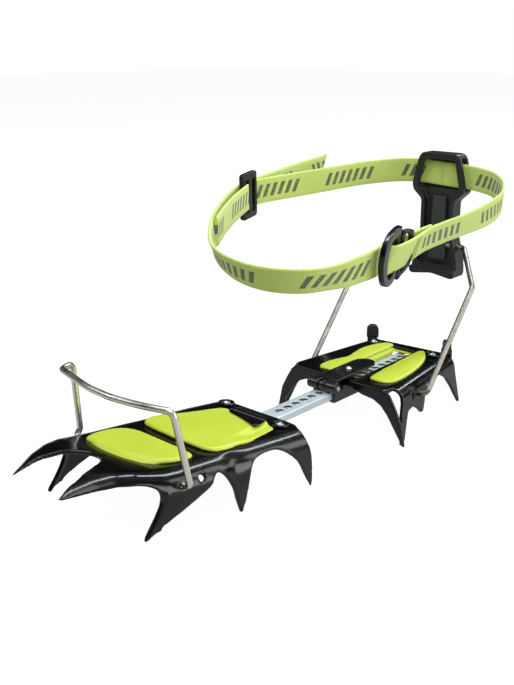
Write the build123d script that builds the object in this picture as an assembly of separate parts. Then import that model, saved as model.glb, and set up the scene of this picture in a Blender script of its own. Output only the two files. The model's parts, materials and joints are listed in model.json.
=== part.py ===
from build123d import *
import math
import os

os.makedirs("parts", exist_ok=True)

# Strap-on ice crampon with a wire toe bail and a heel lever, all sizes in mm.
# +X runs from the toe to the heel, +Y to the far side, +Z up; the points stand on z = 0.

# ---------------------------------------------------------------- driving dimensions
SHIFT_X = -27.9          # brings the middle of the whole assembly over the origin
SHEET = 2.5              # steel sheet of both frames
TOE_TILT = 6.6           # toe spring of the front section, degrees
TILT_X = 8.0             # pivot of that tilt
TILT_Z = 33.0

FRONT_TOP = 35.0         # top of the front plate in its own level frame
FRONT_HALF = 33.0        # half width between the bend lines
FRONT_BEND = 10.5        # outer radius of the shoulder bend
FRONT_DRAFT = 3.5        # inward lean of the front flanges, degrees
BAIL_HOLE = (-96.0, 28.6)
SPARE_HOLE = (-83.6, 29.0)
BAIL_HOLE_R = 1.88       # pivot holes of both bails
SPARE_HOLE_R = 2.2
WIRE_R = 1.8             # both wire bails

BAR_W = 14.0
BAR_TOP = 31.0
BAR_H = 5.0
BAR_T = 1.5
BAR_X0 = -20.0
BAR_X1 = 173.0
HOLE_X0 = 25.2
HOLE_PITCH = 8.0
HOLE_COUNT = 19
HOLE_R = 2.7

HEEL_TOP = 36.0
HEEL_HALF = 35.0         # half width between the bend lines at the wire holes
HEEL_TAPER = 7.5         # narrowing towards the back, degrees
HEEL_BEND = 9.0
HEEL_FLARE = 9.0         # outward lean of the heel flanges, degrees
HEEL_WIRE = (118.5, 26.4)
KNUCKLE = (70.0, 35.3)   # axis of the lock lever
KNUCKLE_R = 3.9
PEG_X = 97.2

LEVER_AXIS = (205.0, 108.0)   # crossbar of the heel wire
WINDOW_AXIS = (205.6, 160.0)  # middle of the strap window in the heel lever
WEB_H = 17.5
WEB_T = 1.6


# ---------------------------------------------------------------- helpers
def mirror_y(points):
    return [(x, -y) for x, y in reversed(points) if y]


def prism_xy(points, z0, z1):
    face = make_face(Polyline(*[(x, y, z0) for x, y in points], close=True))
    return extrude(face, z1 - z0, dir=(0, 0, 1))


def prism_xz(points, y0, y1):
    face = make_face(Polyline(*[(x, y0, z) for x, z in points], close=True))
    return extrude(face, y1 - y0, dir=(0, 1, 0))


def prism_yz(points, x0, x1):
    face = make_face(Polyline(*[(x0, y, z) for y, z in points], close=True))
    return extrude(face, x1 - x0, dir=(1, 0, 0))


def rod_y(x, z, radius, y0, y1):
    return Pos(x, (y0 + y1) / 2, z) * Rot(90, 0, 0) * Cylinder(radius, abs(y1 - y0))


def box(x0, x1, y0, y1, z0, z1):
    mid = Pos((x0 + x1) / 2, (y0 + y1) / 2, (z0 + z1) / 2)
    return mid * Box(x1 - x0, y1 - y0, z1 - z0)


def both(shape):
    # the piece and its mirror twin across y = 0
    return shape + mirror(shape, Plane.XZ)


def seat(shape):
    # front section: level frame to the raised toe
    return Pos(TILT_X, 0, TILT_Z) * Rot(0, TOE_TILT, 0) * Pos(-TILT_X, 0, -TILT_Z) * shape


def unseat(shape):
    return Pos(TILT_X, 0, TILT_Z) * Rot(0, -TOE_TILT, 0) * Pos(-TILT_X, 0, -TILT_Z) * shape


def save(shape, node):
    export_step(Pos(SHIFT_X, 0, 0) * shape, "parts/" + node + ".step")


def flange_section(half, top, radius, lean, leg):
    # half of a bent channel: plate, shoulder arc and leg, in the YZ plane
    angle = math.radians(-lean)
    inner = radius - SHEET
    zc = top - radius
    out = (math.cos(angle), math.sin(angle))
    down = (math.sin(angle), -math.cos(angle))
    mid = math.radians((90 - lean) / 2)
    o0 = (0, half, top)
    om = (0, half + radius * math.cos(mid), zc + radius * math.sin(mid))
    o1 = (0, half + radius * out[0], zc + radius * out[1])
    i0 = (0, half, top - SHEET)
    im = (0, half + inner * math.cos(mid), zc + inner * math.sin(mid))
    i1 = (0, half + inner * out[0], zc + inner * out[1])
    o2 = (0, o1[1] + leg * down[0], o1[2] + leg * down[1])
    i2 = (0, i1[1] + leg * down[0], i1[2] + leg * down[1])
    start_top = (0, -2, top)
    start_low = (0, -2, top - SHEET)
    edges = [
        Line(start_top, o0),
        ThreePointArc(o0, om, o1),
        Line(o1, o2),
        Line(o2, i2),
        Line(i2, i1),
        ThreePointArc(i1, im, i0),
        Line(i0, start_low),
        Line(start_low, start_top),
    ]
    return make_face(edges)


# ---------------------------------------------------------------- front frame (own level frame)
front_side = [
    (4.0, 36.0), (4.5, 31.0), (5.6, 25.0), (7.4, 17.0), (9.6, 7.0), (10.2, 0.1), (8.8, 0.0),
    (3.8, 7.0), (-3.0, 16.5), (-9.0, 22.5), (-15.0, 27.3), (-21.0, 30.2), (-28.0, 30.8),
    (-36.0, 30.2), (-42.0, 28.6), (-45.5, 25.0), (-46.8, 18.0), (-47.6, 9.0), (-49.4, 0.3),
    (-51.0, 0.0), (-55.0, 8.0), (-60.0, 18.5), (-64.5, 25.0), (-67.6, 28.0), (-70.5, 28.8),
    (-73.6, 27.0), (-76.5, 23.2), (-84.0, 19.4), (-98.0, 13.6), (-111.0, 8.2), (-117.5, 4.2),
    (-119.6, 3.6), (-118.2, 7.0), (-113.8, 14.0), (-110.6, 20.5), (-109.6, 25.0), (-109.6, 36.0),
]
section = flange_section(FRONT_HALF, FRONT_TOP, FRONT_BEND, FRONT_DRAFT, 26.0)
channel = Pos(-122, 0, 0) * extrude(section, 133, dir=(1, 0, 0))
front_channel = both(channel & prism_xz(front_side, -60, 60))

horn_top = [
    (-94.0, -42.0), (-104.0, -41.4), (-112.0, -39.4), (-120.0, -36.4), (-130.0, -32.6),
    (-140.0, -28.4), (-149.0, -23.4), (-155.8, -20.2), (-155.8, -19.0), (-149.0, -17.4),
    (-143.0, -16.8), (-136.0, -14.6), (-128.0, -12.0), (-122.0, -7.6), (-118.4, -3.0),
    (-117.6, 0.0), (-94.0, 0.0),
]
horn_crest = [
    (-94.0, 35.0), (-106.0, 35.6), (-118.0, 37.4), (-128.0, 38.2), (-138.0, 37.2),
    (-147.0, 34.2), (-152.0, 31.8), (-155.8, 29.6),
]
horn_under = [
    (-155.8, 28.3), (-148.0, 30.4), (-138.0, 32.4), (-126.0, 32.8), (-115.0, 31.4),
    (-110.0, 29.0), (-106.0, 25.0), (-94.0, 22.0),
]
horn_hollow = [
    (-92.0, -39.4), (-104.0, -38.8), (-112.0, -36.8), (-120.0, -33.8), (-130.0, -30.0),
    (-138.0, -26.4), (-143.0, -22.6), (-142.0, -10.0), (-142.0, 2.0), (-92.0, 2.0),
]
horn = prism_xy(horn_top, 15, 40) & prism_xz(horn_crest + horn_under, -60, 20)
under_sheet = [(x, z - SHEET) for x, z in horn_crest]
hollow = prism_xy(horn_hollow, 0, 40) & prism_xz(under_sheet + [(-155.8, 5.0), (-94.0, 5.0)], -60, 20)
horn = horn - hollow
front_edge = [(-100.0, -FRONT_HALF), (2.0, -FRONT_HALF), (9.0, -25.0)]
front_plate = prism_xy(front_edge + mirror_y(front_edge), FRONT_TOP - SHEET, FRONT_TOP)
toe_edge = [
    (-111.4, -11.0), (-107.5, -19.5), (-100.0, -25.5), (-91.0, -28.5), (-79.0, -28.5),
]
window_toe = toe_edge + mirror_y(toe_edge)
ball_edge = [
    (-67.0, -26.0), (-62.0, -30.5), (-50.0, -31.0), (-38.0, -29.6), (-25.0, -27.5),
    (-13.5, -25.0), (-9.5, -18.5), (-9.0, -12.5), (-14.0, -12.5),
]
window_ball = ball_edge + mirror_y(ball_edge)


def rounded(points, z0, z1, radius):
    shape = prism_xy(points, z0, z1)
    return fillet(shape.edges().filter_by(Axis.Z), radius)


front_frame = front_channel + both(horn) + front_plate
front_frame = front_frame - rounded(window_toe, 30, 40, 3.0)
front_frame = front_frame - rounded(window_ball, 30, 40, 1.6)
front_frame = front_frame - rod_y(BAIL_HOLE[0], BAIL_HOLE[1], BAIL_HOLE_R, -60, 60)
front_frame = front_frame - rod_y(SPARE_HOLE[0], SPARE_HOLE[1], SPARE_HOLE_R, -60, 60)
front_frame = front_frame - Pos(3, 0, 33) * Box(3.0, 12, 10)

# ---------------------------------------------------------------- front anti-balling plate


def inset(points, gap):
    face = make_face(Polyline(*[(x, y, 0) for x, y in points], close=True))
    return offset(face, -gap)


PAD_RISE = 1.9
GAP = 0.35


def island(points, z0, z1, corner):
    face = inset(points, GAP)
    solid = Pos(0, 0, z0) * extrude(face, z1 - z0, dir=(0, 0, 1))
    solid = fillet(solid.edges().filter_by(Axis.Z), corner)
    return chamfer(solid.faces().sort_by(Axis.Z)[-1].edges(), 0.8)


pad_low = FRONT_TOP - SHEET - 1.3
front_base_edge = [(-113, -10), (-107, -24), (-92, -31), (-14.5, -31)]
front_pad_base = prism_xy(front_base_edge + mirror_y(front_base_edge), pad_low, FRONT_TOP - SHEET)
front_pad = front_pad_base + island(window_toe, pad_low, FRONT_TOP + PAD_RISE, 2.9)
ball_block = island(window_ball, pad_low, FRONT_TOP + PAD_RISE, 1.5)
front_pad = front_pad + ball_block

# ---------------------------------------------------------------- linking bar and its keeper
bar = box(BAR_X0, BAR_X1, -BAR_W / 2, BAR_W / 2, BAR_TOP - BAR_H, BAR_TOP)
bar = fillet(bar.edges().filter_by(Axis.X).group_by(Axis.Z)[-1], 0.8)
bar = bar - box(BAR_X0 - 1, BAR_X1 + 1, -BAR_W / 2 + BAR_T, BAR_W / 2 - BAR_T, 20, BAR_TOP - BAR_T)
for index in range(HOLE_COUNT):
    hole = Cylinder(HOLE_R, 12)
    bar = bar - Pos(HOLE_X0 + index * HOLE_PITCH, 0, BAR_TOP) * hole
bar_head = box(BAR_X0, BAR_X0 + 9, -10.5, 10.5, BAR_TOP - BAR_T, BAR_TOP)
bar = bar + bar_head

bar_room = box(-30, 40, -BAR_W / 2 - 0.3, BAR_W / 2 + 0.3, BAR_TOP - BAR_H - 0.3, BAR_TOP + 0.3)
keeper = box(-7, 7, -30, 30, 30.0, FRONT_TOP - SHEET)
keeper = fillet(keeper.edges().filter_by(Axis.Z), 4)
keeper = keeper + box(-5, 6, -9.6, 9.6, 22.4, 31.0)
keeper = keeper - unseat(bar_room)

# ---------------------------------------------------------------- rivets with their washers
FRONT_RIVETS = [(-2.0, -24.0), (2.0, 24.0)]
HEEL_RIVETS = [(165.0, -24.3), (161.5, 24.3)]


def rivet(x, y, top, low):
    # low is the underside of the lowest sheet that the rivet clamps
    shank = Pos(x, y, (top + 0.8 + low - 0.4) / 2) * Cylinder(2.2, top + 1.2 - low)
    head = Pos(x, y, top + 1.05) * Cylinder(3.1, 0.9)
    head = fillet(head.edges().group_by(Axis.Z)[-1], 0.7)
    foot = Pos(x, y, low - 0.5) * Cylinder(3.4, 1.0)
    return shank + head + foot


def washer(x, y, top):
    ring = Pos(x, y, top + 0.3) * Cylinder(5.2, 0.6)
    return ring - Pos(x, y, top) * Cylinder(2.2, 4)


front_rivets = [rivet(x, y, FRONT_TOP, 30.0) for x, y in FRONT_RIVETS]
front_washers = [washer(x, y, FRONT_TOP) for x, y in FRONT_RIVETS]
for x, y in FRONT_RIVETS:
    front_frame = front_frame - Pos(x, y, FRONT_TOP) * Cylinder(2.2, 20)
    keeper = keeper - Pos(x, y, FRONT_TOP) * Cylinder(2.2, 20)


# ---------------------------------------------------------------- wire bails
def wire(points, radius, bend):
    path = FilletPolyline(*points, radius=bend)
    start = path @ 0
    way = path % 0
    return sweep(Plane(origin=start, z_dir=way) * Circle(radius), path=path)


bx, bz = BAIL_HOLE
toe_near = [
    (bx, -39.5, bz), (bx, -47.0, bz), (bx - 11.5, -43.5, bz + 41.0),
    (bx - 19.0, -27.0, bz + 40.5), (bx - 22.0, -9.0, bz + 40.0),
]
toe_far = [(x, -y, z) for x, y, z in reversed(toe_near)]
toe_bail = wire(toe_near + toe_far, WIRE_R, 4.0)

wx, wz = HEEL_WIRE
ax, az = LEVER_AXIS
heel_near = [
    (wx, -39.5, wz), (wx, -49.2, wz), (171.0, -49.2, 90.0), (ax, -21.5, az),
]
heel_far = [(x, -y, z) for x, y, z in reversed(heel_near)]
heel_wire = wire(heel_near + heel_far, WIRE_R, 4.0)

# ---------------------------------------------------------------- heel frame
heel_side = [
    (171.5, 37.0), (172.2, 30.0), (174.8, 20.0), (178.2, 8.0), (180.0, 0.6),
    (178.6, 0.0), (174.0, 6.0), (167.5, 15.5), (160.0, 24.0), (152.0, 28.6), (140.0, 29.6),
    (131.0, 28.4), (127.4, 24.0), (125.0, 18.0), (121.6, 12.8), (118.6, 12.6), (114.0, 16.8),
    (107.5, 20.4), (100.8, 19.6), (97.2, 14.0), (92.4, 4.0), (88.4, 0.0), (86.6, 0.0),
    (88.0, 10.0), (90.4, 19.0), (93.4, 26.0), (94.4, 32.0), (93.0, 37.0),
]
heel_section = flange_section(0.0, HEEL_TOP, HEEL_BEND, -HEEL_FLARE, 28.0)
heel_channel = Pos(80 - wx, 0, 0) * extrude(heel_section, 110, dir=(1, 0, 0))
heel_channel = Pos(wx, HEEL_HALF, 0) * Rot(0, 0, -HEEL_TAPER) * heel_channel
heel_flat = heel_channel & prism_xz(heel_side, -70, 70)
heel_side_near = [(176.6, 37.0), (176.8, 31.0), (177.4, 22.0)] + heel_side[4:]
heel_channel = mirror(heel_channel & prism_xz(heel_side_near, -70, 70), Plane.XZ) + heel_flat
taper = math.tan(math.radians(HEEL_TAPER))


def heel_half(x):
    return HEEL_HALF - (x - wx) * taper


plate_edge = [(85.5, -heel_half(85.5) + 6), (89.0, -heel_half(89) - 0.5), (176.6, -heel_half(176.6) - 0.5)]
plate_edge = plate_edge + [(171.5, heel_half(171.5) + 0.5)] + mirror_y(plate_edge[:2])
heel_plate = prism_xy(plate_edge, HEEL_TOP - SHEET, HEEL_TOP)
front_leg = [
    (-12.0, 36.0), (-36.5, 36.0), (-41.5, 33.0), (-46.0, 25.5), (-50.5, 17.0), (-54.2, 0.6),
    (-53.2, 0.0), (-47.0, 9.0), (-40.5, 18.5), (-35.0, 24.5), (-29.0, 27.4), (-20.0, 28.4),
    (-12.0, 30.8),
]
front_leg = prism_yz(front_leg, 85.5, 85.5 + SHEET)
rear_lip = prism_xy([(174.0, -26), (176.4, -26), (171.8, 26), (169.4, 26)], 29.5, HEEL_TOP)
window_edge = [
    (94.0, -26.5), (98.6, -31.0), (110.0, -32.4), (128.0, -30.6), (146.0, -27.6),
    (153.0, -26.0), (156.5, -19.0), (166.0, -14.0),
]
heel_window = window_edge + mirror_y(window_edge)
heel_frame = heel_channel + heel_plate + both(front_leg) + rear_lip
heel_frame = heel_frame - rounded(heel_window, 30, 40, 1.6)
heel_frame = heel_frame - rod_y(wx, wz, BAIL_HOLE_R, -60, 60)
slot = Pos(108.6, 0, 27.4) * Box(2.4, 120, 5.6)
heel_frame = heel_frame - slot
TAB_NEAR = 173.0
TAB_FAR = 168.6


def stop_tab(x, side):
    return box(x - 1.25, x + 1.25, side * 31 - 4.4, side * 31 + 4.4, 33.6, 41.0)


heel_frame = heel_frame + stop_tab(TAB_NEAR, -1) + stop_tab(TAB_FAR, 1)
heel_frame = heel_frame - box(166, 180, -7.8, 7.8, 24.5, 31.6)

# moulded covers on the two upright heel stops
stop_caps = []
for x, side in ((TAB_NEAR, -1), (TAB_FAR, 1)):
    cap = box(x - 2.25, x + 2.25, side * 31 - 5, side * 31 + 5, 38.0, 47.6)
    cap = fillet(cap.edges().filter_by(Axis.X).group_by(Axis.Z)[-1], 4.2)
    stop_caps.append(cap - stop_tab(x, side))

# ---------------------------------------------------------------- heel anti-balling plate
heel_low = HEEL_TOP - SHEET - 1.2
heel_base_edge = [(90.0, -34.0), (100.0, -35.5), (150.0, -29.4), (169.4, -28.4)]
heel_base = prism_xy(heel_base_edge + mirror_y(heel_base_edge), heel_low, HEEL_TOP - SHEET)
heel_island = island(heel_window, heel_low, HEEL_TOP + 1.3, 1.5)
bar_lane = box(80, 164.5, -7.6, 7.6, 20, 50)
bracket_lane = box(80, 99.5, -12.6, 12.6, 20, 50)
guide_ribs = box(100.5, 162, -10.0, 10.0, 29.4, heel_low) - box(90, 170, -7.6, 7.6, 20, 50)
heel_pad = (heel_base + heel_island + guide_ribs) - bar_lane - bracket_lane
heel_pad = heel_pad - box(80, 167, -8.6, 8.6, HEEL_TOP - SHEET, 50)

heel_rivets = [rivet(x, y, HEEL_TOP, heel_low) for x, y in HEEL_RIVETS]
heel_washers = [washer(x, y, HEEL_TOP) for x, y in HEEL_RIVETS]
for x, y in HEEL_RIVETS:
    heel_frame = heel_frame - Pos(x, y, HEEL_TOP) * Cylinder(2.2, 20)
    heel_pad = heel_pad - Pos(x, y, HEEL_TOP) * Cylinder(2.2, 20)
    heel_pad = heel_pad - Pos(x, y, HEEL_TOP + 4) * Cylinder(5.5, 8)

# ---------------------------------------------------------------- length lock
kx, kz = KNUCKLE
bracket = box(70.0, 99.0, -9.2, 9.2, 24.2, HEEL_TOP - SHEET)
bracket = bracket - box(60, 105, -BAR_W / 2 - 0.35, BAR_W / 2 + 0.35, BAR_TOP - BAR_H - 0.4, BAR_TOP + 0.35)
bracket = bracket - box(60, 105, -4.6, 4.6, 20, 28)
bracket = bracket - box(60, 80, -20, 20, BAR_TOP + 0.2, 40)
bracket_wing = box(88.6, 96.0, -22.0, 22.0, 30.2, 32.0)
bracket = bracket + (bracket_wing - box(60, 105, -7.4, 7.4, 20, BAR_TOP + 0.35))
bracket_eye = rod_y(kx, kz, KNUCKLE_R - 0.4, -2.2, 2.2)
bracket_arm = box(kx, 81.0, -2.2, 2.2, BAR_TOP + 0.35, 33.4)
bracket = bracket + bracket_eye + bracket_arm
bracket = bracket - rod_y(kx, kz, 1.5, -10, 10)
bracket = bracket - box(93.6, 105, -4.0, 4.0, 28, 40)

lock_pin = rod_y(kx, kz, 1.45, -12.4, 12.4)
knuckle = rod_y(kx, kz, KNUCKLE_R, 2.9, 11.5)
lever_blade = [(72.0, -8.2), (112.0, -8.2), (118.0, -7.2), (121.6, -4.2), (123.0, 0.0)]
lever_blade = prism_xy(lever_blade + mirror_y(lever_blade), 37.6, 39.2)
lock_lever = both(knuckle + box(70.0, 75.0, 2.9, 8.2, 37.4, 39.2)) + lever_blade
lock_lever = lock_lever - rod_y(kx, kz, 4.2, -2.9, 2.9)
lock_lever = lock_lever - rod_y(kx, kz, 1.5, -20, 20)
lock_peg = Pos(PEG_X, 0, 33.9) * Cylinder(2.0, 11.6)
lock_peg = chamfer(lock_peg.edges().group_by(Axis.Z)[0], 0.5)
lock_peg = lock_peg + Pos(PEG_X, 0, 39.6) * Cylinder(2.9, 0.8)
lock_lever = lock_lever - Pos(PEG_X, 0, 38) * Cylinder(2.0, 6)

# ---------------------------------------------------------------- heel lever
lever_outline = [
    (-14.0, 175.0), (14.0, 175.0), (17.0, 172.0), (22.0, 152.0), (21.0, 147.0), (13.5, 143.0),
    (13.5, 116.0), (18.5, 100.0), (19.5, 88.0), (15.0, 85.0), (-15.0, 85.0), (-19.5, 88.0),
    (-18.5, 100.0), (-13.5, 116.0), (-13.5, 143.0), (-21.0, 147.0), (-22.0, 152.0), (-17.0, 172.0),
]
lever_body = prism_yz(lever_outline, 200.0, 211.0)
lever_body = fillet(lever_body.edges().filter_by(Axis.X), 1.4)
claw_lip = [(-19.3, 90.5), (19.3, 90.5), (19.5, 88.0), (15.0, 85.0), (-15.0, 85.0), (-19.5, 88.0)]
lever_body = lever_body + prism_yz(claw_lip, 195.5, 201.0)
lever_body = lever_body - prism_yz([(-13.0, 170.5), (13.0, 170.5), (15.8, 149.0), (-15.8, 149.0)], 190, 220)
lever_body = lever_body - box(202.4, 208.8, -40, 40, 148.6, 171.4)
PANEL = (202.0, -8.5, 8.5, 117.0, 141.0)
lever_body = lever_body - box(190, PANEL[0], PANEL[1], PANEL[2], PANEL[3], PANEL[4])
heel_lever = lever_body - rod_y(ax, az, WIRE_R, -30, 30)
lever_panel = box(PANEL[0] - 1.2, PANEL[0], PANEL[1] + 0.1, PANEL[2] - 0.1, PANEL[3] + 0.1, PANEL[4] - 0.1)
lever_panel = fillet(lever_panel.edges().filter_by(Axis.X), 1.5)

# ---------------------------------------------------------------- ankle strap, in its own level frame
STRAP_DIP = 3.9          # the loop hangs lower at the instep, degrees
STRAP_ROLL = 2.9         # and lower on the buckle side
sx, sz = WINDOW_AXIS


def hang(shape):
    return Pos(sx, 0, sz) * Rot(0, -STRAP_DIP, 0) * Rot(STRAP_ROLL, 0, 0) * Pos(-sx, 0, 0) * shape


def ribbon(points, thick, z0, z1, count=36):
    # webbing of constant thickness standing on edge along a smooth line
    line = Spline(*[(x, y, 0) for x, y in points])
    left = []
    right = []
    for step in range(count + 1):
        at = line @ (step / count)
        way = line % (step / count)
        left.append((at.X - way.Y * thick / 2, at.Y + way.X * thick / 2, z0))
        right.append((at.X + way.Y * thick / 2, at.Y - way.X * thick / 2, z0))
    right.reverse()
    face = make_face([Spline(*left), Line(left[-1], right[0]), Spline(*right), Line(right[-1], left[0])])
    return extrude(face, z1 - z0, dir=(0, 0, 1))


NEAR_BUCKLE = (26.5, -79.2, 0.0)     # x, y, heading in degrees
FAR_BUCKLE = (69.5, 66.2, 14.0)
rear_path = [
    (39.7, -79.2), (60.0, -79.4), (84.0, -80.2), (108.0, -80.6), (132.0, -79.2), (155.0, -73.6),
    (180.0, -61.0), (198.0, -44.0), (205.4, -24.0), (205.6, -8.0), (205.6, 8.0), (204.6, 18.0),
    (194.0, 33.0), (169.0, 46.0), (140.0, 53.6), (112.0, 60.8), (94.0, 65.6), (79.3, 68.4),
]
front_path = [
    (13.9, -82.3), (0.0, -82.4), (-18.0, -81.0), (-37.0, -74.0), (-48.0, -58.0), (-49.0, -38.0),
    (-40.0, -14.0), (-20.0, 11.0), (4.0, 32.0), (27.0, 48.2), (45.0, 59.4), (59.6, 66.5),
    (68.9, 69.1), (78.2, 71.5), (104.0, 75.8), (138.0, 80.2), (170.0, 82.7),
]
rear_strap = ribbon(rear_path, WEB_T, -WEB_H / 2, WEB_H / 2, 48)
front_strap = ribbon(front_path, WEB_T, -WEB_H / 2, WEB_H / 2, 48)


def buckle_ring(length, height, bar_w, thick, slots):
    # flat frame standing on edge, its slots upright
    ring = Box(length, thick, height)
    ring = fillet(ring.edges().filter_by(Axis.Y), 2.4)
    ring = fillet(ring.edges(), 0.6)
    for at, width in slots:
        ring = ring - Pos(at, 0, 0) * Box(width, thick * 3, height - 2 * bar_w)
    return ring


def place(shape, where):
    return Pos(where[0], where[1], 0) * Rot(0, 0, where[2]) * shape


near_ring = place(Pos(5.5, 0, 0) * buckle_ring(15.0, 28.0, 4.2, 3.4, [(-1.2, 6.6)]), NEAR_BUCKLE)
near_hook = place(Pos(-6.0, -3.1, -1.5) * buckle_ring(13.0, 29.0, 3.4, 2.2, [(-1.6, 4.2)]), NEAR_BUCKLE)
far_ring = place(buckle_ring(19.0, 31.0, 4.4, 3.4, [(-4.4, 4.2), (4.4, 4.2)]), FAR_BUCKLE)

# ---------------------------------------------------------------- export
save(seat(front_frame), "front_frame")
save(seat(front_pad), "front_antiball_plate")
save(seat(keeper), "bar_keeper")
save(seat(Compound(children=front_rivets)), "front_rivets")
save(seat(Compound(children=front_washers)), "front_washers")
save(seat(toe_bail), "toe_bail")
save(bar, "link_bar")
save(heel_frame, "heel_frame")
save(heel_pad, "heel_antiball_plate")
save(Compound(children=heel_rivets), "heel_rivets")
save(Compound(children=heel_washers), "heel_washers")
save(Compound(children=stop_caps), "heel_stop_caps")
save(bracket, "lock_bracket")
save(lock_pin, "lock_pin")
save(lock_lever, "lock_lever")
save(lock_peg, "lock_peg")
save(heel_wire, "heel_wire")
save(heel_lever, "heel_lever")
save(lever_panel, "lever_panel")
save(hang(rear_strap), "ankle_strap_rear")
save(hang(front_strap), "ankle_strap_front")
save(hang(near_ring), "near_buckle_ring")
save(hang(near_hook), "near_buckle_hook")
save(hang(far_ring), "far_buckle")
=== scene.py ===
import bpy
import json
import math
from mathutils import Matrix, Vector
from mathutils.geometry import delaunay_2d_cdt
from mathutils.kdtree import KDTree


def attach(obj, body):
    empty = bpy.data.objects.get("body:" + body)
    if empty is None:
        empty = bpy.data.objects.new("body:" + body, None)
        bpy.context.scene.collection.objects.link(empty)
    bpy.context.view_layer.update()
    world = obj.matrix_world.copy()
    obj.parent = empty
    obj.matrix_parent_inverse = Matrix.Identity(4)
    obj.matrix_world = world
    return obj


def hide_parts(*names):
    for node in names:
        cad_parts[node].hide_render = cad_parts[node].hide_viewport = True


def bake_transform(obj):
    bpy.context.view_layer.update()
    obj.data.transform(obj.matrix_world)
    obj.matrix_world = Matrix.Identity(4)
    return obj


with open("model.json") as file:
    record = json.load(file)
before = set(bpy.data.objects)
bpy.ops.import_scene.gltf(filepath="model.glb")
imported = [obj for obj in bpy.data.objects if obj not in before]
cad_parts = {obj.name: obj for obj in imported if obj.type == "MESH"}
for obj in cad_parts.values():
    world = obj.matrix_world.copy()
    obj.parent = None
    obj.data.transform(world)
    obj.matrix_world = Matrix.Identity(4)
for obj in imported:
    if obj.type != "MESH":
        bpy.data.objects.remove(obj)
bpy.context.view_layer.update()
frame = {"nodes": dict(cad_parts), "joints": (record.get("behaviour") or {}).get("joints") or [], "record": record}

MM = 0.001
HINGES = {j["name"]: Vector(j["pos_m"]) for j in frame["joints"] if "pos_m" in j}
NODES = frame["nodes"]
SLOT = {s["node"]: s["material_slot"] for s in frame["record"]["subparts"]}
BODY = {n: b for b, names in frame["record"]["behaviour"]["bodies"].items() for n in names}

# ---------------------------------------------------------------- frames of reference
# Shapes are given in mm in three level design frames. Each *_place function takes a point of its
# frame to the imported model's frame, in metres.
HEEL_HOLE_X = 0.1185                  # the heel wire's hole in the design frame, in metres
SHIFT = Vector((HINGES["heel_bail_hinge"].x - HEEL_HOLE_X, 0, 0))
FRONT_TILT = math.radians(6.6)        # the front section's seat tips about a line at (x, z)
FRONT_PIVOT_X, FRONT_PIVOT_Z = 8, 33
WINDOW_AXIS = HINGES["strap_swing"]
WINDOW_X = 205.6                      # middle of the lever's strap window
STRAP_DIP = math.radians(3.9)
STRAP_ROLL = math.radians(2.9)


def heel_place(p):
    return Vector(p) * MM + SHIFT


def front_place(p):
    x, y, z = p
    dx, dz = x - FRONT_PIVOT_X, z - FRONT_PIVOT_Z
    px = FRONT_PIVOT_X + math.cos(FRONT_TILT) * dx + math.sin(FRONT_TILT) * dz
    pz = FRONT_PIVOT_Z - math.sin(FRONT_TILT) * dx + math.cos(FRONT_TILT) * dz
    return Vector((px, y, pz)) * MM + SHIFT


def strap_place(p):
    """zero height is the middle of the webbing; the loop dips and rolls about the window"""
    x, y, z = p
    rel = Vector((x - WINDOW_X, y, z))
    rel = Matrix.Rotation(-STRAP_DIP, 3, "Y") @ Matrix.Rotation(STRAP_ROLL, 3, "X") @ rel
    return rel * MM + WINDOW_AXIS


# ---------------------------------------------------------------- helpers
WELD_GAP = 0.00002


def new_object(name, data):
    ob = bpy.data.objects.new(name, data)
    bpy.context.scene.collection.objects.link(ob)
    return ob


def mesh_object(name, verts, faces):
    mesh = bpy.data.meshes.new(name)
    mesh.from_pydata([tuple(v) for v in verts], [], faces)
    mesh.update()
    return new_object(name, mesh)


def apply_modifiers(ob):
    deps = bpy.context.evaluated_depsgraph_get()
    mesh = bpy.data.meshes.new_from_object(ob.evaluated_get(deps))
    ob.modifiers.clear()
    old = ob.data
    ob.data = mesh
    bpy.data.meshes.remove(old)
    return ob


def shade(ob, material, smooth=True):
    ob.data.materials.clear()
    ob.data.materials.append(material)
    for poly in ob.data.polygons:
        poly.use_smooth = smooth
        poly.material_index = 0


def add_weld(ob):
    ob.modifiers.new("weld", "WELD").merge_threshold = WELD_GAP


def fuse(ob, voxel, passes, keep=0.5):
    """one closed skin with rounded edges: voxel in metres, smoothing passes, share of faces kept"""
    add_weld(ob)
    remesh = ob.modifiers.new("remesh", "REMESH")
    remesh.mode = "VOXEL"
    remesh.voxel_size = voxel
    smooth = ob.modifiers.new("smooth", "SMOOTH")
    smooth.factor = 0.5
    smooth.iterations = passes
    ob.modifiers.new("thin", "DECIMATE").ratio = keep
    return apply_modifiers(ob)


def soften(name, voxel, passes, keep=0.5):
    """rounded copy of a CAD node"""
    return fuse(new_object(name + "_skin", NODES[name].data.copy()), voxel, passes, keep)


def cad_copy(name):
    """welded copy of a CAD node, to be joined with other parts"""
    ob = new_object("copy", NODES[name].data.copy())
    add_weld(ob)
    return ob


def join_meshes(name, parts):
    """parts applied and put into one mesh"""
    parts = [apply_modifiers(p) for p in parts]
    verts, faces = [], []
    for p in parts:
        first = len(verts)
        verts += [tuple(v.co) for v in p.data.vertices]
        faces += [tuple(first + i for i in f.vertices) for f in p.data.polygons]
        bpy.data.objects.remove(p)
    return mesh_object(name, verts, faces)


def skin_faces(rings, count):
    """faces over a run of closed rings with count points each, and over its two ends"""
    faces = []
    for i in range(rings - 1):
        for k in range(count):
            j = (k + 1) % count
            faces.append((i * count + k, i * count + j, (i + 1) * count + j, (i + 1) * count + k))
    return faces + [tuple(range(count - 1, -1, -1)),
                    tuple((rings - 1) * count + k for k in range(count))]


def stands_for(ob, name, material=None):
    """the piece hides a CAD node and takes its body and finish"""
    shade(ob, material or MAT[SLOT[name]])
    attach(ob, BODY[name])
    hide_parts(name)


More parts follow.
